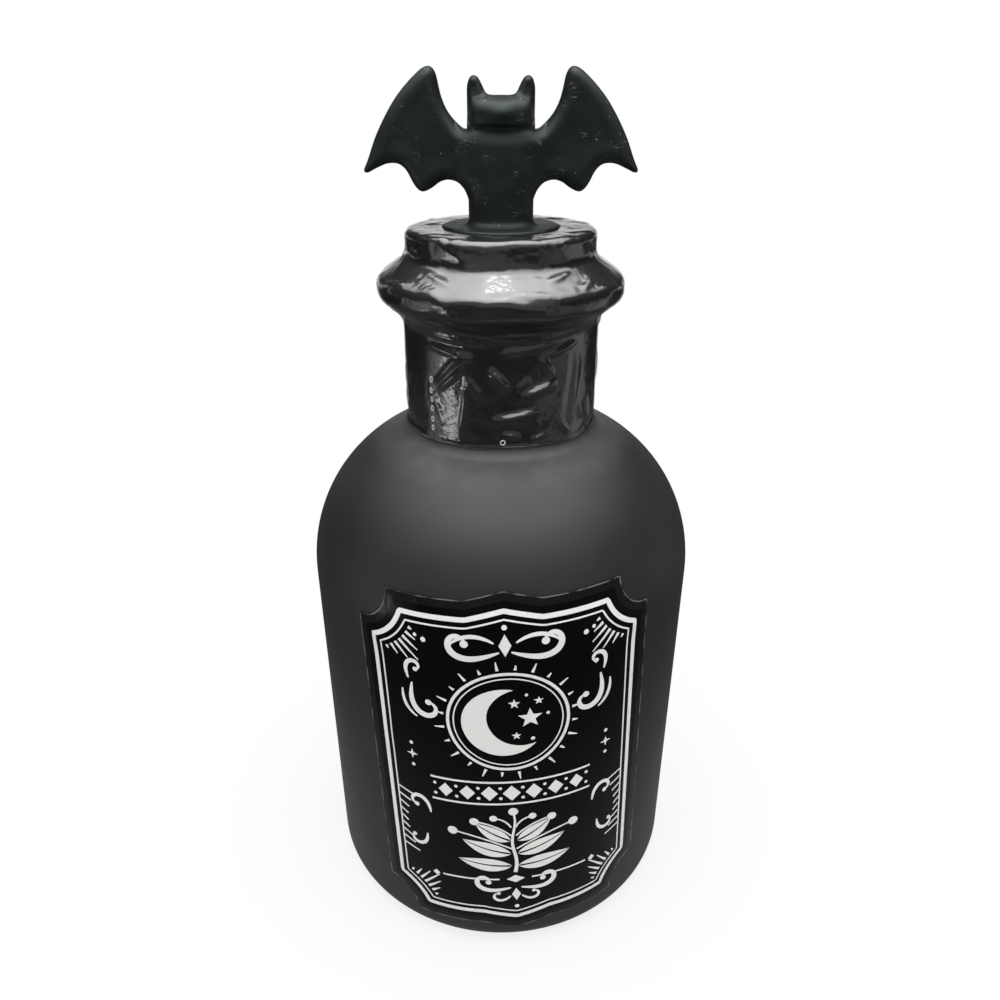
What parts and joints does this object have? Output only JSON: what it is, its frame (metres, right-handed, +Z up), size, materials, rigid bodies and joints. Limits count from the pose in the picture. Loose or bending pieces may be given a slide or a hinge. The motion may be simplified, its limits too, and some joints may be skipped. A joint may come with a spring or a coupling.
{
  "type": "apothecary bottle",
  "caption": "Matte black apothecary bottle with a pull-out stopper topped by a bat figure, a clear shrink band over its lip and a dark die-cut label on its front.",
  "frame": {"origin": "centre of the ring that the bottle stands on, on the surface under it", "axes": "+Z up along the bottle, -Y towards the label and the bat's face, +X to the right as seen from the front"},
  "size_m": [0.08, 0.0802, 0.1725],
  "materials": {
    "coated_glass": "matte black coating over clear glass",
    "clear_film": "clear glossy shrunk film",
    "label_film": "black print on clear film, semi-gloss",
    "bat_resin": "matte moulded black",
    "stud_steel": "plain drawn steel",
    "plug_rubber": "moulded black rubber"
  },
  "bodies": {
    "vessel": {"bottle": "coated_glass", "shrink_band": "clear_film", "label_film": "label_film"},
    "stopper": {"bat_figure": "bat_resin", "stopper_stud": "stud_steel", "stopper_plug": "plug_rubber"}
  },
  "joints": [
    {"name": "stopper_lift", "type": "slide", "parent": "vessel", "child": "stopper", "axis": [0, 0, 1], "range_m": [0, 0.03]}
  ]
}
